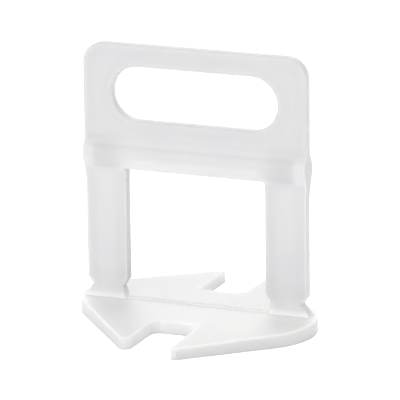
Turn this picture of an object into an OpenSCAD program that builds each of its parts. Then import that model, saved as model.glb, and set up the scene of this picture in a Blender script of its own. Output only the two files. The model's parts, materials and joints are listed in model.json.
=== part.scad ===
// Tile levelling clip, moulded in one piece.
// The base lies under two neighbouring tiles, the legs stand in the joint between them, and a wedge
// driven through the window over the legs presses the tiles level. Once the adhesive has set, a kick
// on the handle snaps the legs at their necks, and the base stays under the floor.
// Frame: Z is up from the underside of the base, X runs along the joint, Y across it.

/* [Handle] */
// Width of the handle plate and the shoulder bar
handle_w = 45.4; // [42:0.2:54]
// Thickness of the handle plate
handle_t = 1.8; // [1.4:0.1:2.2]
// Height of the handle's top edge over the underside of the base
total_h = 52.9; // [51:0.1:60]
// Radius of the handle's two top corners
handle_corner_r = 4.2; // [2:0.1:7]

/* [Finger slot] */
// Length of the finger slot from end to end
slot_l = 33.6; // [24:0.2:36]
// Height of the finger slot, twice the radius of its ends
slot_h = 10.4; // [8:0.2:11]
// Depth of the slot's centre line under the handle's top edge
slot_drop = 9.5; // [8.5:0.1:10]

/* [Shoulder bar] */
// Thickness of the bar that the wedge bears against
bar_t = 4.2; // [3:0.1:6]
// Height of the short slope from the handle out to the bar's full thickness
bar_slope_h = 2.2; // [1:0.1:3]
// Height of the stretch at the bar's full thickness
bar_flat_h = 2; // [1:0.1:3]
// Height of the bar's sloping underside, which the crossbar and the tops of the legs share
bar_under_h = 2.3; // [1.5:0.1:4]
// Thickness that the underside comes down to
bar_under_t = 2.5; // [2.3:0.1:3]
// Share of the underside that the crossbar keeps above the window
under_over_window = 0.78; // [0.2:0.02:0.9]
// Height of the slow taper from the underside down to the thickness of the legs
leg_taper_h = 2.6; // [1:0.1:5]

/* [Legs and wedge window] */
// Width of each leg
leg_w = 8.4; // [6:0.1:10]
// How far each leg's outer edge stands back from the edge of the shoulder bar
leg_inset = 0.2; // [0.1:0.05:1]
// Thickness of each leg, which sets the width of the joint
leg_t = 2.2; // [1:0.1:3]
// Height of the window from the base, along the legs, to the crossbar
window_h = 25.7; // [22:0.1:28]

/* [Break necks] */
// Height of the narrowest point of each leg over the base
neck_rise = 2.4; // [1.8:0.1:4]
// Depth of the V notch in each edge of a leg
neck_depth = 1.1; // [0.5:0.05:2]
// Height of the V notch's upper face
neck_ramp_h = 1.5; // [0.6:0.1:2.5]
// How far each foot widens from the neck down to the base, on its outer side
foot_outer_run = 1.8; // [0.5:0.1:2]
// How far it widens on its inner side
foot_inner_run = 0.7; // [0.2:0.1:2]
// How far it thickens at the front and at the back
foot_deep_run = 0.2; // [0.1:0.05:0.5]

/* [Base] */
// Thickness of the base along the legs
base_t = 2.9; // [2.4:0.1:4]
// Thickness of the base at its tips, which are thin so that a tile slides over them
base_tip_t = 2.1; // [1.2:0.1:2.4]
// Width of the U notch in the front and the back of the base
notch_w = 9.4; // [6:0.2:12]
// Distance of the notch's closed end from the plane of the legs
notch_reach = 10.8; // [8:0.2:14]
// Distance of the lobe's tip from the plane of the legs, before it is rounded
lobe_reach = 26.6; // [24:0.2:30]
// Angle of the lobe's outer edge to the plane of the legs
lobe_angle = 42; // [38:0.5:46]
// Distance of the tooth's tip from the plane of the legs, before it is rounded
tooth_reach = 24.8; // [24:0.2:30]
// Angle of the tooth's outer edge to the plane of the legs
tooth_angle = 49.5; // [46:0.5:54]
// Radius of the base's two ends, outside the legs
end_r = 12.5; // [8:0.5:14]
// Radius of the tooth's tip
tooth_r = 1.2; // [0.6:0.1:2]
// Radius of the lobe's tip
lobe_r = 0.8; // [0.6:0.1:1.6]
// Radius of the notch's inner corner on the tooth's side
notch_tooth_r = 2; // [1:0.1:3]
// Radius of the notch's inner corner on the lobe's side
notch_lobe_r = 1; // [0.4:0.1:1.4]

/* [Ridge between the feet] */
// Height of the ridge over the base
ridge_h = 0.45; // [0.3:0.05:0.8]
// Thickness of the ridge, across the joint
ridge_t = 1.0; // [0.6:0.1:1.6]

/* [Hidden] */
$fn = 96;

clip_color = [0.9, 0.91, 0.91];
// How far the feet and the ridge run down into the base
sink = 0.4;

// Heights of the upright's stations over the underside of the base
window_top_z = base_t + window_h;
flat_low_z = window_top_z + under_over_window * bar_under_h;
under_low_z = flat_low_z - bar_under_h;
taper_low_z = under_low_z - leg_taper_h;
flat_high_z = flat_low_z + bar_flat_h;
slope_high_z = flat_high_z + bar_slope_h;
slot_z = total_h - slot_drop;
neck_z = base_t + neck_rise;
neck_high_z = neck_z + neck_ramp_h;
foot_low_z = base_t - sink;

// The feet's sloping faces run straight on into the base, which stretches each run by this much
foot_stretch = (neck_rise + sink) / neck_rise;

// Places of a leg's two edges along the joint, and of its neck's two edges
leg_outer_x = handle_w / 2 - leg_inset;
leg_inner_x = leg_outer_x - leg_w;
neck_outer_x = leg_outer_x - neck_depth;
neck_inner_x = leg_inner_x + neck_depth;

// The end of the base is where the lobe's edge meets the edge of the tooth that points the other way
lobe_slope = tan(lobe_angle);
tooth_slope = tan(tooth_angle);
lobe_zero_y = -lobe_reach - lobe_slope * notch_w / 2;
tooth_zero_y = tooth_reach + tooth_slope * notch_w / 2;
end_x = (tooth_zero_y - lobe_zero_y) / (lobe_slope + tooth_slope);
end_y = lobe_zero_y + lobe_slope * end_x;

// Corners of the base's front half, anticlockwise from the left end: x, y, radius, and 1 where the
// corner stands out or -1 where it turns in
front_corners = [
    [-end_x, -end_y, end_r, 1],
    [-notch_w / 2, -tooth_reach, tooth_r, 1],
    [-notch_w / 2, -notch_reach, notch_tooth_r, -1],
    [notch_w / 2, -notch_reach, notch_lobe_r, -1],
    [notch_w / 2, -lobe_reach, lobe_r, 1]
];
// The back half is the front half after half a turn
base_corners = concat(front_corners, [for (c = front_corners) [-c.x, -c.y, c[2], c[3]]]);

function place(corner) = [corner.x, corner.y];
function toward(from, to) = (to - from) / norm(to - from);
function neighbour(i, step) = base_corners[(i + step + len(base_corners)) % len(base_corners)];
function arm(i, step) = toward(place(base_corners[i]), place(neighbour(i, step)));
function half_angle(i) = acos(arm(i, -1) * arm(i, 1)) / 2;
// Where the rounding of corner i leaves its edge towards the corner before it (-1) or after it (1)
function tangent_point(i, step) =
    place(base_corners[i]) + arm(i, step) * base_corners[i][2] / tan(half_angle(i));
function arc_centre(i) =
    place(base_corners[i])
    + toward([0, 0], arm(i, -1) + arm(i, 1)) * base_corners[i][2] / sin(half_angle(i));

// Sectors that round the base's corners of one kind, each kept within its own corner
module corner_sectors(kind) {
    for (i = [0 : len(base_corners) - 1]) {
        if (base_corners[i][3] == kind) {
            intersection() {
                translate(arc_centre(i)) circle(r = base_corners[i][2]);
                polygon([tangent_point(i, -1), place(base_corners[i]), tangent_point(i, 1), arc_centre(i)]);
            }
        }
    }
}

// Outline of the base: straight edges between the tangent points, then each corner rounded
module base_outline() {
    corner_count = len(base_corners);
    difference() {
        union() {
            polygon([for (i = [0 : corner_count - 1]) for (step = [-1, 1]) tangent_point(i, step)]);
            corner_sectors(1);
        }
        corner_sectors(-1);
    }
}

// Slot with round ends, centred on the origin
module finger_slot() {
    straight = slot_l - slot_h;
    square([straight, slot_h], center = true);
    for (side = [-1, 1]) {
        translate([side * straight / 2, 0]) circle(d = slot_h);
    }
}

// Front outline of the handle and the crossbar, with the two top corners rounded
module handle_outline() {
    round_x = handle_w / 2 - handle_corner_r;
    difference() {
        union() {
            translate([-handle_w / 2, window_top_z])
                square([handle_w, total_h - handle_corner_r - window_top_z]);
            translate([-round_x, window_top_z]) square([2 * round_x, total_h - window_top_z]);
            for (side = [-1, 1]) {
                translate([side * round_x, total_h - handle_corner_r]) circle(r = handle_corner_r);
            }
        }
        translate([0, slot_z]) finger_slot();
    }
}

// Front outline of the right leg, from inside the base to inside the crossbar
module leg_outline() {
    leg_high_z = flat_low_z;
    polygon([
        [neck_inner_x - foot_inner_run * foot_stretch, foot_low_z],
        [neck_outer_x + foot_outer_run * foot_stretch, foot_low_z],
        [neck_outer_x, neck_z],
        [leg_outer_x, neck_high_z],
        [leg_outer_x, taper_low_z],
        [handle_w / 2, window_top_z],
        [handle_w / 2, leg_high_z],
        [leg_inner_x, leg_high_z],
        [leg_inner_x, neck_high_z],
        [neck_inner_x, neck_z]
    ]);
}

// Half of the upright's side profile: distance from the middle plane at each height
function half_profile(side) = [
    [side * (leg_t / 2 + foot_deep_run * foot_stretch), foot_low_z],
    [side * leg_t / 2, neck_z],
    [side * leg_t / 2, taper_low_z],
    [side * bar_under_t / 2, under_low_z],
    [side * bar_t / 2, flat_low_z],
    [side * bar_t / 2, flat_high_z],
    [side * handle_t / 2, slope_high_z],
    [side * handle_t / 2, total_h]
];

// Side profile of the upright, up one face and down the other
module side_profile() {
    face = half_profile(1);
    other = half_profile(-1);
    last = len(other) - 1;
    polygon(concat(face, [for (i = [0 : last]) other[last - i]]));
}

// The upright is what the front outline and the side profile have in common
module upright() {
    reach = 2 * handle_w;
    intersection() {
        rotate([90, 0, 0]) linear_extrude(height = reach, center = true) {
            handle_outline();
            leg_outline();
            mirror([1, 0]) leg_outline();
        }
        rotate([90, 0, 90]) linear_extrude(height = reach, center = true) side_profile();
    }
}

// Side profile of the base: flat underneath, thickest along the legs, thinnest at the tips
module base_profile() {
    tip_reach = max(lobe_reach, tooth_reach);
    polygon([
        [-tip_reach, 0],
        [tip_reach, 0],
        [tip_reach, base_tip_t],
        [0, base_t],
        [-tip_reach, base_tip_t]
    ]);
}

// The base is what its outline and its side profile have in common
module base() {
    reach = 2 * end_x;
    intersection() {
        linear_extrude(height = 3 * base_t, center = true) base_outline();
        rotate([90, 0, 90]) linear_extrude(height = reach, center = true) base_profile();
    }
}

// Low ridge on the base from foot to foot
module ridge() {
    translate([-neck_inner_x, -ridge_t / 2, foot_low_z])
        cube([2 * neck_inner_x, ridge_t, sink + ridge_h]);
}

module levelling_clip() {
    color(clip_color) union() {
        base();
        upright();
        ridge();
    }
}

levelling_clip();
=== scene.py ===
# %% [markdown]
# # A tile levelling clip in milky plastic
#
# The clip is one injection moulding, about as tall as a matchbox is long. Its base lies under two tiles
# and its legs stand in the joint between them, while a wedge through its window presses the tiles level.
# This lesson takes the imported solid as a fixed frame, gives a copy of it the soft edges that a mould
# leaves, and finishes it in milky plastic under soft studio light. All lengths are in metres in Blender,
# so the millimetres of the drawing are multiplied by MM.

# %% Load the frame
import json
import math

import bmesh
import bpy
from mathutils import Matrix, Vector

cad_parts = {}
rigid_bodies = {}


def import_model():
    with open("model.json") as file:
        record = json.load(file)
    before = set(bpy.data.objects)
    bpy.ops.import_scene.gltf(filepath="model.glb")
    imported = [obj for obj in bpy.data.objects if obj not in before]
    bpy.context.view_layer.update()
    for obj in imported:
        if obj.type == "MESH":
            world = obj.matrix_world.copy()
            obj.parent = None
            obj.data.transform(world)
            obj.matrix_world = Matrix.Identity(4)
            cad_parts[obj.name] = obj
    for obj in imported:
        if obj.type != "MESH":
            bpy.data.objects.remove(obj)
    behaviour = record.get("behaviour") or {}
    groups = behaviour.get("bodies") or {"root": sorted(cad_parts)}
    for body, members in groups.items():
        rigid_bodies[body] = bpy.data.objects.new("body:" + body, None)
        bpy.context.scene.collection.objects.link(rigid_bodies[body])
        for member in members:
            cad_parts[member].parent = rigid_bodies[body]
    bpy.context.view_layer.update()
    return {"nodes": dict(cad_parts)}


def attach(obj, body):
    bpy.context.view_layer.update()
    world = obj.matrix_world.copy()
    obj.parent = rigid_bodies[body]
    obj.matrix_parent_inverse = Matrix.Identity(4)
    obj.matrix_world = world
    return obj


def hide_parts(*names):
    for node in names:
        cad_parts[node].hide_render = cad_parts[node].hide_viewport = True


MM = 0.001

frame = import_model()

# %% [markdown]
# ## The camera
#
# The photograph was taken from the front, a little from the right and from above, with a long lens, so
# upright edges stay almost parallel. A camera can be placed by eye and nudged until it looks right, or
# from measured angles. Measured angles are used here: they come from the outline of the handle, the
# slot and the legs, whose places on the solid are known.

# %% Camera
view_azimuth = math.radians(22.67)
view_elevation = math.radians(15.33)
view_roll = math.radians(-0.78)
view_distance = 0.8
focal_in_pixels = 4234
picture_width = 400
aim_point = Vector((0.6, 0, 23.6)) * MM

camera_data = bpy.data.cameras.new("photo_camera")
camera_data.sensor_width = 36
camera_data.lens = camera_data.sensor_width * focal_in_pixels / picture_width
camera_data.clip_start = 0.01
camera = bpy.data.objects.new("photo_camera", camera_data)
bpy.context.collection.objects.link(camera)
turn = (
    Matrix.Rotation(view_azimuth, 4, "Z")
    @ Matrix.Rotation(math.pi / 2 - view_elevation, 4, "X")
    @ Matrix.Rotation(view_roll, 4, "Z")
)
towards_camera = (turn @ Vector((0, 0, 1))).normalized()
camera.matrix_world = Matrix.Translation(aim_point + towards_camera * view_distance) @ turn
bpy.context.scene.camera = camera
print("lens in mm:", round(camera_data.lens, 1))

# %% [markdown]
# ## A working copy of the moulding
#
# The solid already has the right form: base, feet, legs, shoulder bar and handle in one piece. It could
# be modelled again from a cube, but every edge would have to be placed twice. A copy of the node is
# quicker and exact. Its triangles come loose and unshared, so they are first merged into one skin, and
# flat triangles are dissolved into whole faces that a bevel can run along. The handle's front and back
# run round the finger slot, and a face can't have a hole, so both are first cut in two down the middle.

# %% Copy and merge
MERGE_DISTANCE = 0.001 * MM

bpy.ops.object.select_all(action="DESELECT")
solid = frame["nodes"]["levelling_clip"]
solid.select_set(True)
bpy.context.view_layer.objects.active = solid
bpy.ops.object.duplicate()
clip = bpy.context.object
clip.name = "moulded_clip"
clip.data.name = "moulded_clip"
bpy.ops.object.parent_clear(type="CLEAR_KEEP_TRANSFORM")
clip.data.materials.clear()

bpy.ops.object.mode_set(mode="EDIT")
bpy.ops.mesh.select_mode(type="FACE")
bpy.ops.mesh.select_all(action="SELECT")
bpy.ops.mesh.remove_doubles(threshold=MERGE_DISTANCE)
print("copy:", len(bmesh.from_edit_mesh(clip.data).faces), "faces")

# %% Cut the handle's faces down the middle, then dissolve the loose diagonals
# Distance in millimetres that still counts as the same place
NEAR = 0.02
# Least part of a normal that counts as facing the front or the back
FACING = 0.99
FLAT_WITHIN = math.radians(0.3)
# Height in millimetres where the slope of the shoulder bar meets the handle
slope_high = 34.594


def choose_faces(test):
    """Select every face whose middle in millimetres and normal pass the test."""
    bpy.ops.mesh.select_all(action="DESELECT")
    for face in bmesh.from_edit_mesh(clip.data).faces:
        if test(face.calc_center_median() / MM, face.normal):
            face.select_set(True)
    bmesh.update_edit_mesh(clip.data)


choose_faces(lambda middle, normal: middle.z > slope_high and abs(normal.y) > FACING)
bpy.ops.mesh.bisect(plane_co=(0, 0, 0), plane_no=(1, 0, 0))


def is_seam(a, b):
    """Tell whether an edge lies on the cut down the middle, which has to stay."""
    return abs(a.x) < NEAR and abs(b.x) < NEAR and min(a.z, b.z) > slope_high - NEAR


bpy.ops.mesh.select_mode(type="EDGE")
bpy.ops.mesh.select_all(action="DESELECT")
for edge in bmesh.from_edit_mesh(clip.data).edges:
    flat = edge.calc_face_angle() < FLAT_WITHIN
    edge.select_set(flat and not is_seam(*(v.co / MM for v in edge.verts)))
bmesh.update_edit_mesh(clip.data)
bpy.ops.mesh.dissolve_edges(use_verts=True)
bpy.ops.object.mode_set(mode="OBJECT")
print("whole faces:", len(clip.data.polygons))

# %% [markdown]
# ## Which edge gets which rounding
#
# A moulding has few sharp corners. The shoulder bar flows softly into the handle and the legs, the legs
# are rounded so that they slip into the joint, the thin handle only a little, and the inner corners have
# tiny fillets where the plastic flowed round. The underside keeps its sharp edge, as where the two
# halves of a mould meet. Each edge group is chosen by its place and gets a bevel weight, and one Bevel
# modifier then rounds all of them in one go. Bevelling the groups one after another would leave odd
# corners where they meet.

# %% A helper that weighs edges
WIDEST_ROUNDING = 1.0 * MM


def weigh_edges(title, rounding_mm, test):
    """Give every edge that passes the test a bevel weight that stands for its rounding."""
    bpy.ops.mesh.select_all(action="DESELECT")
    skin = bmesh.from_edit_mesh(clip.data)
    chosen = 0
    for edge in skin.edges:
        ends = [v.co / MM for v in edge.verts]
        bend = math.degrees(edge.calc_face_angle_signed())
        if test(ends[0], ends[1], bend):
            edge.select_set(True)
            chosen += 1
    bmesh.update_edit_mesh(clip.data)
    # The operator adds to what an edge has, so what an earlier group gave is taken off first
    bpy.ops.transform.edge_bevelweight(value=-1.0)
    bpy.ops.transform.edge_bevelweight(value=rounding_mm * MM / WIDEST_ROUNDING)
    print(title + ":", chosen, "edges at", rounding_mm, "mm")


def both(a, b, test):
    """Tell whether both ends of an edge pass the test."""
    return test(a) and test(b)


bpy.ops.object.mode_set(mode="EDIT")
bpy.ops.mesh.select_mode(type="EDGE")
print("a bevel weight of 1 stands for", WIDEST_ROUNDING / MM, "mm")

# %% Edges of the handle
# Bend in degrees from which an edge counts as sharp, then sizes of the slot in millimetres
SHARP = 35
slot_middle = 43.4
slot_half_height = 5.2
slot_half_length = 16.8


def in_slot(p):
    """Tell whether a point lies on the rim of the finger slot."""
    along = abs(p.x) < slot_half_length + NEAR
    return along and abs(p.z - slot_middle) < slot_half_height + NEAR


weigh_edges("handle", 0.2, lambda a, b, bend:
            bend > SHARP and both(a, b, lambda p: p.z > slope_high - NEAR))
weigh_edges("finger slot", 0.2, lambda a, b, bend:
            bend > SHARP and both(a, b, in_slot))

# %% Edges of the shoulder bar and the legs
# Bend in degrees from which an edge counts as a kink, then heights in millimetres
SLIGHT = 10
under_low = 28.094
neck_top = 6.8

weigh_edges("shoulder bar", 0.35, lambda a, b, bend:
            bend > SHARP and both(a, b, lambda p: under_low - NEAR < p.z < slope_high + NEAR))
weigh_edges("shoulder kinks", 0.6, lambda a, b, bend:
            SLIGHT < abs(bend) < SHARP and both(a, b, lambda p: p.z > under_low + NEAR))
weigh_edges("legs", 0.45, lambda a, b, bend:
            bend > SHARP and both(a, b, lambda p: neck_top - NEAR < p.z < under_low + NEAR))

# %% Edges of the necks and the feet
# Least climb of an edge that stands up, then heights, all in millimetres
STEEP = 1
neck_height = 5.3
base_top = 2.9
# Just under the top of the base at its thin tips
base_low = 2.0


def near(a, b):
    """Tell whether two measures in millimetres are the same."""
    return abs(a - b) < NEAR


weigh_edges("necks and feet", 0.4, lambda a, b, bend:
            bend > SHARP and abs(a.z - b.z) > STEEP
            and both(a, b, lambda p: base_low < p.z < neck_top + NEAR))
weigh_edges("neck notches", 0.2, lambda a, b, bend:
            abs(bend) > SHARP and near(a.z, b.z)
            and both(a, b, lambda p: neck_height - NEAR < p.z < neck_top + NEAR))
weigh_edges("foot to base", 0.15, lambda a, b, bend:
            bend < -SHARP and both(a, b, lambda p: base_low < p.z < base_top + NEAR))

# %% Edges of the ridge and the base
# Half of the ridge's thickness in millimetres
ridge_half = 0.5

weigh_edges("ridge", 0.12, lambda a, b, bend:
            abs(bend) > SHARP and both(a, b, lambda p: near(abs(p.y), ridge_half) and p.z > base_low))
weigh_edges("base rim", 0.3, lambda a, b, bend:
            bend > SHARP and both(a, b, lambda p: base_low < p.z < base_top + NEAR))
bpy.ops.object.mode_set(mode="OBJECT")

# %% Round the weighed edges
SMOOTH_WITHIN = math.radians(40)

rounding = clip.modifiers.new("rounding", "BEVEL")
rounding.limit_method = "WEIGHT"
rounding.offset_type = "OFFSET"
rounding.width = WIDEST_ROUNDING
rounding.segments = 4
rounding.use_clamp_overlap = False
rounding.loop_slide = True
bpy.ops.object.modifier_apply(modifier=rounding.name)
bpy.ops.object.shade_smooth_by_angle(angle=SMOOTH_WITHIN)
flats = clip.modifiers.new("flat faces stay flat", "WEIGHTED_NORMAL")
flats.keep_sharp = True
bpy.ops.object.modifier_apply(modifier=flats.name)
print("rounded:", len(clip.data.vertices), "points,", len(clip.data.polygons), "faces")

# %% [markdown]
# ## The milky plastic
#
# Clips like this are often moulded in natural polypropylene, which is neither white nor clear: light
# goes in, spreads and comes out a millimetre or two further on. Clear plastic with a fog inside would
# come closest, but it renders slowly and with noise. Subsurface scattering in the Principled shader does
# the spreading quickly. Alone it looks like wax of one colour, so the next cells measure the clip and
# vary the colour.

# %% Base shader
SPREAD = 2 * MM

milky = bpy.data.materials.new("milky_plastic")
milky.use_nodes = True
nodes = milky.node_tree.nodes
links = milky.node_tree.links
shader = nodes["Principled BSDF"]
shader.inputs["IOR"].default_value = 1.49
shader.inputs["Subsurface Weight"].default_value = 1.0
shader.inputs["Subsurface Radius"].default_value = (1.0, 1.0, 0.98)
shader.inputs["Subsurface Scale"].default_value = SPREAD
print("light spreads over", SPREAD / MM, "mm")

# %% [markdown]
# ### Thick, thin and narrow
#
# On the real clip the thick bar is paler than the thin handle, and the narrow sides are greyer than the
# faces. Here both are painted light and shade: the thick bar is painted paler, as if lit through, the
# tops of the legs a little darker, and the sides darker than the faces. That could be painted on an
# image, but an image would need to be unwrapped and wouldn't follow a change of the mould. An Ambient
# Occlusion node that looks inwards reads the thickness instead, and the surface's direction tells faces
# from sides.

# %% Painted light and shade by thickness
THICK_REACH = 3 * MM
# Painted light and shade: the bar is painted paler as if light came through it, the leg tops darker
handle_colour = (0.625, 0.623, 0.631, 1)
bar_colour_painted_lighter = (0.735, 0.732, 0.742, 1)
leg_top_shade_colour = (0.64, 0.637, 0.645, 1)
# What the feeler reads in the handle, in the bar, and where the legs run into the bar
painted_thickness_stops = [(0.23, handle_colour), (0.88, bar_colour_painted_lighter), (0.97, leg_top_shade_colour)]


def feel(reach, inwards):
    """Measure how open the space is within reach of a point, inside the plastic or outside it."""
    feeler = nodes.new("ShaderNodeAmbientOcclusion")
    feeler.inside = inwards
    feeler.only_local = True
    feeler.samples = 8
    feeler.inputs["Distance"].default_value = reach
    return feeler.outputs["AO"]


def colour_stops(measure, stops):
    """Run through colours as a measure rises, each stop being a reading and its colour."""
    ramp = nodes.new("ShaderNodeValToRGB")
    ramp.color_ramp.elements[0].position = stops[0][0]
    ramp.color_ramp.elements[0].color = stops[0][1]
    ramp.color_ramp.elements[1].position = stops[-1][0]
    ramp.color_ramp.elements[1].color = stops[-1][1]
    for reading, colour in stops[1:-1]:
        ramp.color_ramp.elements.new(reading).color = colour
    links.new(measure, ramp.inputs["Fac"])
    return ramp.outputs["Color"]


light_and_shade_by_thickness = colour_stops(feel(THICK_REACH, inwards=True), painted_thickness_stops)
print("colours by thickness:", len(painted_thickness_stops), "felt", THICK_REACH / MM, "mm deep")

# %% Painted shade by direction
# Part of a normal that points to the front or the back: up to the first a side, from the second a face
SIDE_UNTIL = 0.3
FACE_FROM = 0.9
# The sides of the upright are painted darker than its faces, as painted shade
side_shade_colour = (0.605, 0.603, 0.61, 1)


def without_sign(measure):
    """Make front and back, or left and right, read the same."""
    size_only = nodes.new("ShaderNodeMath")
    size_only.operation = "ABSOLUTE"
    links.new(measure, size_only.inputs["Value"])
    return size_only.outputs["Value"]


def stretch(measure, low, high):
    """Stretch a measure so that low becomes 0 and high becomes 1."""
    limits = nodes.new("ShaderNodeMapRange")
    limits.inputs["From Min"].default_value = low
    limits.inputs["From Max"].default_value = high
    links.new(measure, limits.inputs["Value"])
    return limits.outputs["Result"]


def feed(socket, source):
    """Give a socket another node's output, or else a fixed number or colour."""
    if isinstance(source, bpy.types.NodeSocket):
        links.new(source, socket)
    else:
        socket.default_value = source


def mix(share, first, second, blend="MIX"):
    """Mix the second colour into the first by a share from 0 to 1."""
    mixer = nodes.new("ShaderNodeMix")
    mixer.data_type = "RGBA"
    mixer.blend_type = blend
    feed(mixer.inputs["Factor"], share)
    feed(mixer.inputs["A"], first)
    feed(mixer.inputs["B"], second)
    return mixer.outputs["Result"]


place = nodes.new("ShaderNodeTexCoord")
direction = nodes.new("ShaderNodeSeparateXYZ")
links.new(place.outputs["Normal"], direction.inputs["Vector"])
on_face = stretch(without_sign(direction.outputs["Y"]), SIDE_UNTIL, FACE_FROM)
upright_light_and_shade = mix(on_face, side_shade_colour, light_and_shade_by_thickness)
print("sides of the upright:", side_shade_colour[:3])

# %% [markdown]
# ### The base on white
#
# The base lies on white and light comes through it from below, so its top is painted paler than the
# upright, as painted light. Its rim is painted greyer, as shade, but in the two notches light gathers
# and the rim is painted pale again. A second material for the base would leave a hard line at the feet,
# so one material fades from base to upright by height.

# %% Painted light and shade of the base
NOTCH_REACH = 15 * MM
# Part of a normal that points up or down, from which the rim begins to turn into the top
TOP_FROM = 0.7
# The top is painted paler as light from below; the rim is painted greyer as shade, pale in the notches
base_top_painted_light = (0.75, 0.75, 0.745, 1)
notch_painted_light = (0.84, 0.84, 0.84, 1)
rim_painted_shade = (0.65, 0.65, 0.65, 1)
# What the feeler reads deep in a notch and in the open
rim_light_and_shade_stops = [(0.75, notch_painted_light), (0.98, rim_painted_shade)]

rim_light_and_shade = colour_stops(feel(NOTCH_REACH, inwards=False), rim_light_and_shade_stops)
on_top = stretch(without_sign(direction.outputs["Z"]), TOP_FROM, 1)
base_light_and_shade = mix(on_top, rim_light_and_shade, base_top_painted_light)
print("colours of the base:", len(rim_light_and_shade_stops), "on its rim, 1 on its top")

# %% From base to upright
UPRIGHT_FROM = 4.2 * MM

point = nodes.new("ShaderNodeSeparateXYZ")
links.new(place.outputs["Object"], point.inputs["Vector"])
over_base = stretch(point.outputs["Z"], base_top * MM, UPRIGHT_FROM)
whole_colour = mix(over_base, base_light_and_shade, upright_light_and_shade)
print("base turns into upright from", base_top, "to", UPRIGHT_FROM / MM, "mm")

# %% [markdown]
# ### Edges, corners and leg tops
#
# Edges of the upright are painted with fine grey lines of shade, inner corners are painted light, and
# the plastic is painted a little darker where the legs run into the bar, as shade. The light on the
# rounded edges alone would leave the lines too faint on such a small part. A feeler with a very short
# reach finds the edges, one with a longer reach the corners, and the distance from the top of a leg
# gives the painted shade there.

# %% Painted shade on edges and painted light in corners
EDGE_REACH = 0.5 * MM
EDGES_FROM = 3.1 * MM
CORNER_REACH = 8 * MM
# What the feelers read, each with the tone that it gives
# Painted shade: the edges of the upright are darkened into fine grey lines
edge_shade_tones = [(0.5, 0.5), (0.95, 1)]
# Painted light: inner corners stay paler, the open surface is darkened a little
corner_light_tones = [(0.5, 1), (0.85, 0.86)]


def tint(measure, tones, colour, share=1):
    """Darken a colour by tones that follow a measure."""
    greys = [(reading, (tone, tone, tone, 1)) for reading, tone in tones]
    return mix(share, colour, colour_stops(measure, greys), blend="MULTIPLY")


over_rim = stretch(point.outputs["Z"], base_top * MM, EDGES_FROM)
edges_shaded = tint(feel(EDGE_REACH, inwards=True), edge_shade_tones, whole_colour, share=over_rim)
corners_painted_light = tint(feel(CORNER_REACH, inwards=False), corner_light_tones, edges_shaded)
print("edges felt within", EDGE_REACH / MM, "mm, corners within", CORNER_REACH / MM, "mm")

# %% Painted shade at the leg tops
LEG_MIDDLE = 18.3 * MM
LEG_TOP_HEIGHT = 31.5 * MM
LEG_TOP_REACH = 6 * MM
# Painted shade: the colour is a little darker where the legs run into the bar
leg_top_shade_tones = [(0, 0.9), (1, 1)]

in_front_view = nodes.new("ShaderNodeCombineXYZ")
links.new(without_sign(point.outputs["X"]), in_front_view.inputs["X"])
links.new(point.outputs["Z"], in_front_view.inputs["Z"])
from_leg_top = nodes.new("ShaderNodeVectorMath")
from_leg_top.operation = "DISTANCE"
from_leg_top.inputs[1].default_value = (LEG_MIDDLE, 0, LEG_TOP_HEIGHT)
links.new(in_front_view.outputs["Vector"], from_leg_top.inputs[0])
fade = stretch(from_leg_top.outputs["Value"], 0, LEG_TOP_REACH)
fade.node.interpolation_type = "SMOOTHSTEP"
leg_tops_shaded = tint(fade, leg_top_shade_tones, corners_painted_light)
# The painted shade at the leg tops fades out over this distance
print("clouds fade out", LEG_TOP_REACH / MM, "mm from the leg tops")

# %% [markdown]
# ### Clouds and satin skin
#
# Milky plastic is never quite even: it holds faint clouds, and its skin has the satin grain of the
# mould. Both could be left out on a white part, but then it looks like paper. One noise with lumps as
# wide as a finger tints the colour and varies the gloss, and a fine one raises the grain.

# %% Clouds
CLOUD_SIZE = 9 * MM
# Readings of the noise, which seldom goes past them
CLOUD_LOW = 0.3
CLOUD_HIGH = 0.7
cool_cloud = (0.97, 0.965, 0.98, 1)
warm_cloud = (1, 1, 0.99, 1)


def add_noise(size, detail):
    """Fill space with noise whose lumps are about the given size."""
    noise = nodes.new("ShaderNodeTexNoise")
    noise.inputs["Scale"].default_value = 1 / size
    noise.inputs["Detail"].default_value = detail
    links.new(place.outputs["Object"], noise.inputs["Vector"])
    return noise.outputs["Fac"]


clouds = add_noise(CLOUD_SIZE, detail=3)
cloud_colour = colour_stops(clouds, [(CLOUD_LOW, cool_cloud), (CLOUD_HIGH, warm_cloud)])
clouded = mix(1, leg_tops_shaded, cloud_colour, blend="MULTIPLY")
links.new(clouded, shader.inputs["Base Color"])
print("clouds:", CLOUD_SIZE / MM, "mm wide")

# %% Satin skin
GLOSSIEST = 0.38
DULLEST = 0.5
GRAIN_SIZE = 0.25 * MM
GRAIN_DEPTH = 0.02 * MM
GRAIN_STRENGTH = 0.12

gloss = stretch(clouds, CLOUD_LOW, CLOUD_HIGH)
gloss.node.inputs["To Min"].default_value = GLOSSIEST
gloss.node.inputs["To Max"].default_value = DULLEST
links.new(gloss, shader.inputs["Roughness"])

satin = nodes.new("ShaderNodeBump")
satin.inputs["Strength"].default_value = GRAIN_STRENGTH
satin.inputs["Distance"].default_value = GRAIN_DEPTH
links.new(add_noise(GRAIN_SIZE, detail=2), satin.inputs["Height"])
links.new(satin.outputs["Normal"], shader.inputs["Normal"])
clip.data.materials.append(milky)
print("material:", milky.name, "with", len(nodes), "nodes")

# %% [markdown]
# ## Floor and light
#
# The clip stands on seamless white: the floor burns out to pure white and there is hardly a shadow. A
# real studio does that with a light table inside a tent of soft light. Here a wide white floor glows a
# little, so that no dark line forms under the base, and lies under a bright sky that is a little
# brighter overhead. One softbox behind gives the base its sheen, and one in front keeps the faces
# light. Softboxes alone would leave the sides too dark.

# %% Floor
FLOOR_WIDTH = 6
FLOOR_GLOW = 0.15

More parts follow.
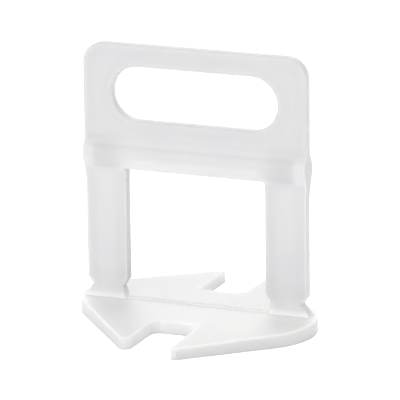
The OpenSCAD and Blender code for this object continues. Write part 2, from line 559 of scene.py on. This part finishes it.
bpy.ops.object.select_all(action="DESELECT")
bpy.ops.mesh.primitive_plane_add(size=FLOOR_WIDTH)
floor = bpy.context.object
floor.name = "studio_floor"
floor_paint = bpy.data.materials.new("studio_white")
floor_paint.use_nodes = True
floor_shader = floor_paint.node_tree.nodes["Principled BSDF"]
floor_shader.inputs["Base Color"].default_value = (0.98, 0.98, 0.98, 1)
floor_shader.inputs["Roughness"].default_value = 0.9
floor_shader.inputs["Specular IOR Level"].default_value = 0
floor_shader.inputs["Emission Color"].default_value = (1, 1, 1, 1)
floor_shader.inputs["Emission Strength"].default_value = FLOOR_GLOW
floor.data.materials.append(floor_paint)
print("floor:", FLOOR_WIDTH, "m wide")

# %% Sky
SKY_AT_HORIZON = 0.9
SKY_OVERHEAD = 1.15

world = bpy.data.worlds.new("studio")
world.use_nodes = True
bpy.context.scene.world = world
sky = world.node_tree.nodes["Background"]
sky.inputs["Color"].default_value = (1, 1, 1, 1)
sky_place = world.node_tree.nodes.new("ShaderNodeTexCoord")
sky_height = world.node_tree.nodes.new("ShaderNodeSeparateXYZ")
sky_strength = world.node_tree.nodes.new("ShaderNodeMapRange")
sky_strength.inputs["To Min"].default_value = SKY_AT_HORIZON
sky_strength.inputs["To Max"].default_value = SKY_OVERHEAD
world.node_tree.links.new(sky_place.outputs["Generated"], sky_height.inputs["Vector"])
world.node_tree.links.new(sky_height.outputs["Z"], sky_strength.inputs["Value"])
world.node_tree.links.new(sky_strength.outputs["Result"], sky.inputs["Strength"])
print("sky:", SKY_AT_HORIZON, "at the horizon,", SKY_OVERHEAD, "overhead")

# %% Softboxes
SOFTBOX_WIDTH = 0.8


def add_softbox(name, place_m, watts):
    """Hang a square soft light that faces the clip."""
    lamp = bpy.data.lights.new(name, "AREA")
    lamp.shape = "SQUARE"
    lamp.size = SOFTBOX_WIDTH
    lamp.energy = watts
    box = bpy.data.objects.new(name, lamp)
    bpy.context.collection.objects.link(box)
    box.location = place_m
    box.rotation_euler = (aim_point - box.location).to_track_quat("-Z", "Y").to_euler()
    print(name + ":", watts, "W at", [round(c, 2) for c in place_m], "m")


add_softbox("back softbox", (-0.35, 0.8, 0.9), 4)
add_softbox("front softbox", (0.1, -1.1, 0.35), 4.5)

bpy.context.scene.view_settings.view_transform = "Standard"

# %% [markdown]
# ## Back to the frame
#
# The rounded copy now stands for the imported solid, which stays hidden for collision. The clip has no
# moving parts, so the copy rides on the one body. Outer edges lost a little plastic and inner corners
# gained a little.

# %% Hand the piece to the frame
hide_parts("levelling_clip")
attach(clip, "root")
print(clip.name, "stands for levelling_clip")
